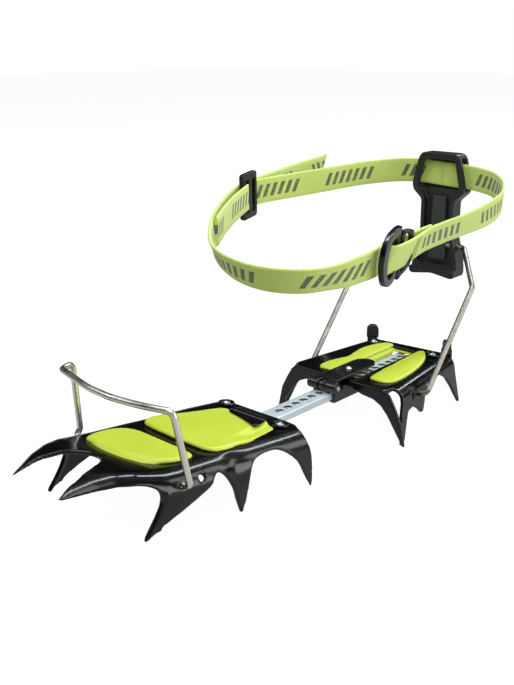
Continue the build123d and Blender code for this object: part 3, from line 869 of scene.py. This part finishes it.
heel_skin = join_meshes("heel_frame_skin", [cad_copy("heel_frame"), heel_deck(1), heel_deck(-1)])
stands_for(fuse(heel_skin, voxel=0.0005, passes=14), "heel_frame")
NEAR_PAD = [(97.6, -17.4), (104, -16.0), (112, -15.0), (122, -14.2), (133, -13.4), (150, -12.2),
            (163, -11.4), (167.4, -13.6), (166.4, -17.6), (159, -22.6), (152, -26.4), (145, -28.8),
            (138, -30.8), (125, -33.4), (112, -34.6), (103, -34.0), (98, -31.4), (95.6, -27),
            (95.4, -21.6)]
FAR_PAD = [(91.4, 17), (92.6, 21.6), (97, 24.4), (105, 24.6), (112, 23.0), (119, 21.4),
           (126, 21.2), (133, 22), (141, 23), (150, 22.6), (157, 20.6), (162.6, 17.4), (166, 13.4),
           (166.4, 10), (162, 8.9), (147, 8.8), (124, 8.8), (104, 8.8), (96.5, 9.2), (92.2, 12.0)]


def near_height(x, y):
    return HEEL_PAD_TOP + 0.7 * math.exp(-((y + 24) / 8) ** 2)


def far_height(x, y):
    """lower across the waist of the pad"""
    waist = 0.7 * math.exp(-((x - 123) / 8) ** 2)
    return HEEL_PAD_TOP + 0.7 * math.exp(-((y - 15.5) / 6) ** 2) - waist


heel_tops = [pad_top("near_top", NEAR_PAD, near_height, 1.4, heel_place),
             pad_top("far_top", FAR_PAD, far_height, 1.4, heel_place)]
heel_base = cad_copy("heel_antiball_plate")
for v in heel_base.data.vertices:
    v.co.z = min(v.co.z, UNDER_HEEL_SHEET * MM)
heel_pads = join_meshes("heel_snow_pads", heel_tops + [heel_base])
stands_for(fuse(heel_pads, voxel=0.00055, passes=4, keep=0.4), "heel_antiball_plate")


# ---------------------------------------------------------------- heel lever, outlines as (y, z)
def mirrored(half, foot=()):
    """outline from its right half and any point at the foot of the middle line"""
    left = [(-y, z) for y, z in half]
    return left[:1] + half + list(foot) + left[:0:-1]


LEVER = mirrored([(14.0, 175.0), (17.0, 172.0), (22.0, 152.0), (21.0, 147.5), (13.7, 141.0),
                  (13.5, 116.0), (18.5, 100.0), (19.5, 88.0), (17.5, 85.0)], [(0.0, 87.6)])
WINDOW = mirrored([(12.8, 166.4), (16.0, 155.4), (14.8, 153.0)])
OPENING = mirrored([(12.6, 170.4), (16.8, 152.0), (15.6, 147.2), (10.6, 140.4), (10.4, 117.0),
                    (14.6, 101.0), (15.6, 93.6)])
POCKET = [(15.6, 93.6), (14.6, 101.0), (10.4, 117.0), (10.6, 140.4), (15.8, 149.2)]
POCKET = [(-y, z) for y, z in reversed(POCKET)] + POCKET
RIDGE = mirrored([(5.4, 143.8), (6.0, 120.0), (7.4, 98.5), (5.6, 96.8)])
LIP = mirrored([(19.3, 91.0), (19.5, 88.0), (17.5, 85.0)], [(0, 87.6)])
BLOCK_TOP, BLOCK_FOOT = 149.4, 171.2     # the lever is solid below the one z and above the other


def slab(name, loop, holes, x_near, x_far):
    """flat plate across the lever between two x planes"""
    return pressed_sheet(name, loop, holes, lambda y, z: heel_place((x_far, y, z)),
                         thick=x_far - x_near, step=1.6, margin=0.6)


whole = cut_loop(LEVER)
low_block = [p for p in whole if p[1] < BLOCK_TOP]
high_block = [p for p in whole if p[1] > BLOCK_FOOT]
lever_parts = [                         # layers from the boot's side to the back, then the lip
    slab("lever_a", whole, [cut_loop(OPENING)], 199.6, 202.6),
    slab("lever_b", low_block + POCKET, [], 202.0, 205.2),
    slab("lever_c", low_block, [], 205.0, 209.2),
    slab("lever_d", high_block, [], 202.0, 209.2),
    slab("lever_e", whole, [cut_loop(WINDOW)], 208.8, 211.0),
    slab("lever_f", cut_loop(LIP), [], 195.6, 200.6),
]
lever_skin = fuse(join_meshes("heel_lever_skin", lever_parts), voxel=0.0005, passes=7, keep=0.4)
stands_for(lever_skin, "heel_lever")
ridge = slab("lever_ridge", cut_loop(RIDGE, corner=1.0), [], 202.6, 205.6)
stands_for(fuse(ridge, voxel=0.0004, passes=4), "lever_panel")


# ---------------------------------------------------------------- stop caps, lock, bar and buckles
CAP_TURN, CAP_NARROW = 42, 0.88       # degrees outward, share of the CAD cap's width
caps = soften("heel_stop_caps", voxel=0.0004, passes=5)
for side in (-1, 1):
    cap = [v for v in caps.data.vertices if v.co.y * side > 0]
    middle = sum((v.co for v in cap), Vector()) / len(cap)
    swing = Matrix.Rotation(math.radians(CAP_TURN * side), 3, "Z")
    for v in cap:
        rel = v.co - middle
        rel.y *= CAP_NARROW
        v.co = middle + swing @ rel
stands_for(caps, "heel_stop_caps")
PEG = [(0.2, -10.6), (1.8, -10.4), (1.85, 0.2), (2.3, 0.1), (2.2, 0.7), (1.5, 1.15), (0.7, 1.35),
       (0.2, 1.4)]
stands_for(join_rings("lock_peg_dome", [lathe(PEG, heel_place, (97.2, 0, 39.2))]), "lock_peg")
for part in ("lock_lever", "lock_bracket"):
    stands_for(soften(part, voxel=0.0004, passes=4, keep=0.4), part, LOCK_METAL)
TONGUE = [(-14.4, 6.0), (-18.2, -7.5), (-22.2, -20.4), (-19.4, -22), (-10, -19), (-2, -14),
          (4.5, -12), (5.6, -6), (5.6, 8), (3.5, 12), (-3, 14), (-8, 10)]


def tongue_height(x, y):
    """the plate rises towards the ball"""
    return blend_value([(-22, 39.5), (-12, 39.2), (-5, 36.8), (4, 36.2)], x)


tongue = moulded_block("tongue", round_loop(TONGUE, 0.8), tongue_height, depth=2.8, rim=0.6,
                       place=front_place, step=1.0)
keeper = join_meshes("bar_keeper_plate", [tongue, cad_copy("bar_keeper")])
stands_for(fuse(keeper, voxel=0.00045, passes=3, keep=0.4), "bar_keeper")
stands_for(soften("link_bar", voxel=0.00035, passes=2, keep=0.3), "link_bar")
stands_for(soften("far_buckle", voxel=0.0004, passes=4), "far_buckle")
# the two plates of the near buckle as (x, z)
HOOK_RIM = [(5.0, 12.8), (10.5, 16.0), (21.0, 17.0), (24.6, 14.0), (24.2, -9.0), (20.8, -13.8),
            (13.4, -14.4), (7.6, -11.6), (3.2, -5.0), (1.4, 1.0), (1.8, 7.0)]
HOOK_EYE = [(10.0, 9.6), (13.4, 11.4), (18.4, 11.4), (19.0, 8), (18.8, -7.0), (17.6, -9.6),
            (12.8, -9.8), (9.8, -6.4), (8.4, -0.6), (8.6, 5)]
RING_RIM = [(25.6, 11.6), (28.4, 13.4), (34.6, 12.6), (37.4, 9.8), (38.4, -4.0), (36.4, -8.8),
            (30.2, -12.4), (25.4, -12.8)]
RING_EYE = [(28.4, 9.6), (34.2, 9.2), (35.0, -3.8), (33.2, -7.4), (28.2, -9.4)]


def buckle_plate(name, rim, eye, y_near, thick, slope):
    """moulded ring on edge, turned inward towards the heel"""
    first = min(x for x, _ in rim)

    def put(x, z):
        return strap_place((x, y_near + slope * (x - first) - 0.1 * z, z))

    ob = pressed_sheet(name, round_loop(rim, 0.9), [round_loop(eye, 0.9)], put, -thick,
                       step=1.0, margin=0.4)
    return fuse(ob, voxel=0.00038, passes=5)


hook = buckle_plate("near_buckle_hook_skin", HOOK_RIM, HOOK_EYE, y_near=-87.2, thick=3.2, slope=0.26)
stands_for(hook, "near_buckle_hook")
ring = buckle_plate("near_buckle_ring_skin", RING_RIM, RING_EYE, y_near=-82.3, thick=2.4, slope=0.0)
stands_for(ring, "near_buckle_ring")
for name, ob in NODES.items():
    if not ob.hide_render:
        shade(ob, MAT[SLOT[name]], False)


# ---------------------------------------------------------------- ankle strap
WEB_W, WEB_T = 17.5, 1.6              # webbing's width and thickness
OFF_PRINT = 1.0                       # added to the UV across the tape where it has no print


def tape_section():
    """loop around the webbing as (outward, up), with rounded edges"""
    corner = WEB_T / 2
    reach = WEB_W / 2 - corner
    levels = [reach - (WEB_W - 2 * corner) * k / 8 for k in range(9)]
    arc = [(corner * math.cos(math.pi * k / 4), corner * math.sin(math.pi * k / 4) * 0.9)
           for k in range(1, 4)]
    return ([(corner, z) for z in levels] + [(s, -reach - z) for s, z in arc]
            + [(-corner, z) for z in reversed(levels)] + [(-s, reach + z) for s, z in arc])


def tape(name, points, lean, steps, u0=0.0, slant=0.0, plain=0.0, tail=0.0):
    """Webbing on edge along a smooth line through (x, y) points.

    lean is (share of length, degrees) stops, outward at the top; u0 is where the print starts;
    slant cuts the end at an angle; plain and tail are lengths without print at the two ends.
    """
    line, total = catmull([(x, y, 0) for x, y in points], steps)
    section = tape_section()
    verts, uvs = [], []
    for k, p in enumerate(line):
        ahead = line[min(k + 1, len(line) - 1)] - line[max(k - 1, 0)]
        way = ahead.normalized()
        out = Vector((way.y, -way.x, 0))
        tilt = math.radians(blend_value(lean, k / steps))
        up = Vector((0, 0, 1)) * math.cos(tilt) + out * math.sin(tilt)
        side = out * math.cos(tilt) - Vector((0, 0, 1)) * math.sin(tilt)
        stretch = way * slant * max(0.0, (k - steps + 4) / 4)
        for s, z in section:
            verts.append(strap_place(p + side * s + up * z + stretch * z))
            run = total * k / steps
            bare = run < plain or run > total - tail
            uvs.append(((u0 + run) * MM, z * MM + (OFF_PRINT if bare else 0.0)))
    ob = mesh_object(name, verts, skin_faces(len(line), len(section)))
    layer = ob.data.uv_layers.new(name="UVMap")
    for loop in ob.data.loops:
        layer.data[loop.index].uv = uvs[loop.vertex_index]
    return ob


REAR_NEAR = [
    (62.0, -77.7), (50.0, -77.6), (36.0, -77.8), (24.0, -78.3), (16.8, -79.4), (13.4, -81.0),
    (12.6, -83.0), (14.2, -85.2), (18.0, -86.2), (24.0, -86.2), (34.0, -85.0), (46.0, -82.6),
    (56.0, -80.6), (66.0, -79.8), (84.0, -80.2), (108.0, -80.6), (132.0, -79.2), (155.0, -73.6),
    (180.0, -61.0), (198.0, -44.0), (205.4, -24.0), (WINDOW_X, -8.0), (WINDOW_X, 0.0),
]
REAR_FAR = [
    (WINDOW_X, 0.0), (WINDOW_X, 8.0), (204.6, 18.0), (194.0, 33.0), (169.0, 46.0), (140.0, 53.6),
    (112.0, 60.8), (94.0, 65.6), (79.3, 68.4),
]
FRONT_PATH = [
    (10.6, -81.4), (6.0, -82.2), (0.0, -82.4), (-18.0, -81.0), (-37.0, -74.0), (-48.0, -58.0),
    (-49.0, -38.0), (-40.0, -14.0), (-20.0, 11.0), (4.0, 32.0), (27.0, 48.2), (45.0, 59.4),
    (59.6, 66.5), (68.9, 69.1), (78.2, 71.5), (104.0, 75.8), (138.0, 80.2), (170.0, 82.7),
]
INNER_FOLD = [(66.0, 63.4), (47.0, 54.0), (30.0, 44.8), (15.0, 35.6), (3.0, 27.6), (-6.0, 21.4)]
UPRIGHT = [(0, 0), (1, 0)]
FRONT_LEAN = [(0, -7), (0.05, -14), (0.12, -28), (0.3, -26), (0.45, -6), (0.6, 0), (1, 0)]
REAR_LEAN = [(0, -20), (0.13, -18), (0.165, 0), (0.2, 18), (0.44, 22), (0.63, 6), (0.76, 0), (1, 0)]


def make_thread():
    mat, tree, bsdf = principled("thread", (0.30, 0.48, 0.06), 0.6, sheen=0.3)
    twist = noise(tree, 2200.0, 3.0)
    vary_color(tree, bsdf, twist, (0.26, 0.44, 0.05), (0.42, 0.60, 0.12))
    bump(tree, bsdf, twist, 0.3, 0.0002)
    return mat


def strap_piece(ob, replaced=None, material=None):
    """webbing's finish; the flat ends of a tape stay flat"""
    shade(ob, material or MAT["webbing_lime"])
    for f in ob.data.polygons:
        f.use_smooth = len(f.vertices) <= 4
    if replaced:
        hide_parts(replaced)
    return ob


def stitches(name, columns, low, high, count, y_face, lean):
    """bar tack: short raised threads across the webbing, in columns at an x each"""
    verts, faces = [], []
    lean = math.radians(lean)
    half = (high - low) / count * 0.42
    for x in columns:
        for k in range(count):
            middle = low + (high - low) * (k + 0.5) / count
            first = len(verts)
            for share, wide in ((-1.0, 0.1), (-0.6, 0.42), (0.6, 0.42), (1.0, 0.1)):
                z = middle + half * share
                for dx, dy in ((-wide, 0.0), (-wide * 0.7, -0.3), (wide * 0.7, -0.3), (wide, 0.0)):
                    verts.append(strap_place((x + 0.35 * share + dx, y_face + dy - z * math.tan(lean),
                                              z * math.cos(lean))))
            for r in range(3):
                for c in range(3):
                    i = first + r * 4 + c
                    faces.append((i, i + 1, i + 5, i + 4))
                faces.append((first + r * 4 + 3, first + r * 4, first + r * 4 + 4, first + r * 4 + 7))
            faces.append((first, first + 3, first + 2, first + 1))
            faces.append((first + 12, first + 13, first + 14, first + 15))
    return mesh_object(name, verts, faces)


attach(strap_piece(stitches("ankle_strap_tack", (39.2, 41.4), -7.6, 7.6, 9, -85.05, 18),
                    material=make_thread()), "ankle_strap")


near_half = strap_piece(tape("ankle_strap_rear_near", REAR_NEAR, REAR_LEAN, 200,
                             u0=52, plain=88, tail=14), "ankle_strap_rear")
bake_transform(near_half)
far_half = strap_piece(tape("ankle_strap_rear_far", REAR_FAR, UPRIGHT, 90, u0=22, plain=13),
                       "ankle_strap_rear")
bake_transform(far_half)
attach(strap_piece(tape("ankle_strap_front_web", FRONT_PATH, FRONT_LEAN, 190, slant=0.55),
                    "ankle_strap_front"), "ankle_strap")
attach(strap_piece(tape("ankle_strap_inner_fold", INNER_FOLD, UPRIGHT, 50, u0=14)), "ankle_strap")


# ---------------------------------------------------------------- floor, light and camera
FLOOR_HALF = 6.0
CAMERA_FROM = Vector((-0.39987, -0.34731, 0.25292))
CAMERA_TURN = (math.radians(-47.93), math.radians(18.52), math.radians(-0.34))  # around, up, roll
FOCAL = 1.7610895        # focal length and sideways shift in frame widths
SHIFT_SIDE = -0.0169261
SENSOR = 36


def make_floor():
    """white paper for the camera, darker in reflections"""
    corners = [(x * FLOOR_HALF, y * FLOOR_HALF, 0) for x, y in ((-1, -1), (1, -1), (1, 1), (-1, 1))]
    floor = mesh_object("floor", corners, [(0, 1, 2, 3)])
    mat, tree, bsdf = principled("floor_paper", (0.3, 0.3, 0.3), 0.9)
    seen = node(tree, "ShaderNodeLightPath").outputs["Is Camera Ray"]
    vary_color(tree, bsdf, noise(tree, 3.0), (0.12, 0.12, 0.12), (0.125, 0.125, 0.125))
    bsdf.inputs["Emission Color"].default_value = (1, 1, 1, 1)
    tree.links.new(ramp(tree, seen, 0, 1, 0.38, 0.95), bsdf.inputs["Emission Strength"])
    shade(floor, mat, False)


def area_light(name, place, target, size, power, color=(1, 1, 1)):
    data = bpy.data.lights.new(name, "AREA")
    data.shape = "RECTANGLE"
    data.size, data.size_y = size
    data.energy = power
    data.color = color
    ob = new_object(name, data)
    ob.location = place
    ob.rotation_euler = (Vector(target) - Vector(place)).to_track_quat("-Z", "Y").to_euler()


def make_light():
    """room that is white for the camera and dark in reflections, save overhead; five lights"""
    world = bpy.data.worlds.new("studio")
    bpy.context.scene.world = world
    world.use_nodes = True
    tree = world.node_tree
    ground = tree.nodes["Background"]
    ground.inputs[0].default_value = (1, 1, 1, 1)
    seen = node(tree, "ShaderNodeLightPath").outputs["Is Camera Ray"]
    sep = node(tree, "ShaderNodeSeparateXYZ")
    tree.links.new(node(tree, "ShaderNodeTexCoord").outputs["Generated"], sep.inputs[0])
    room = ramp(tree, sep.outputs["Z"], 0.5, 0.95, 0.012, 0.27)
    tree.links.new(math_node(tree, "MAXIMUM", room, seen), ground.inputs[1])
    area_light("strip", (0.9, 0.05, 1.25), (0.9, 0.05, 0), (2.6, 0.11), 22, (0.84, 0.92, 1.0))
    area_light("front", (-0.8, -0.9, 1.6), (0, 0, 0.05), (1.3, 1.3), 17)
    area_light("low", (0.7, -1.6, 0.45), (0.05, 0, 0.1), (1.3, 0.8), 15)
    area_light("right", (1.5, -0.9, 0.9), (0.05, 0, 0.1), (0.5, 0.9), 5)
    area_light("far", (-0.9, 1.1, 1.3), (0, 0, 0.05), (0.7, 0.7), 5)


def make_camera():
    data = bpy.data.cameras.new("camera")
    data.sensor_fit = "HORIZONTAL"
    data.sensor_width = SENSOR
    data.lens = FOCAL * SENSOR
    data.shift_x = SHIFT_SIDE
    data.clip_start = 0.01
    az, el, roll = CAMERA_TURN
    back = Vector((math.sin(az) * math.cos(el), -math.cos(az) * math.cos(el), math.sin(el)))
    right = (-back).cross(Vector((0, 0, 1))).normalized()
    up = right.cross(-back)
    turned_right = right * math.cos(roll) + up * math.sin(roll)
    turned_up = up * math.cos(roll) - right * math.sin(roll)
    ob = new_object("camera", data)
    turn = Matrix((turned_right, turned_up, back)).transposed()
    ob.matrix_world = Matrix.Translation(CAMERA_FROM) @ turn.to_4x4()
    bpy.context.scene.camera = ob


make_floor()
make_light()
make_camera()
bpy.context.scene.view_settings.view_transform = "Standard"
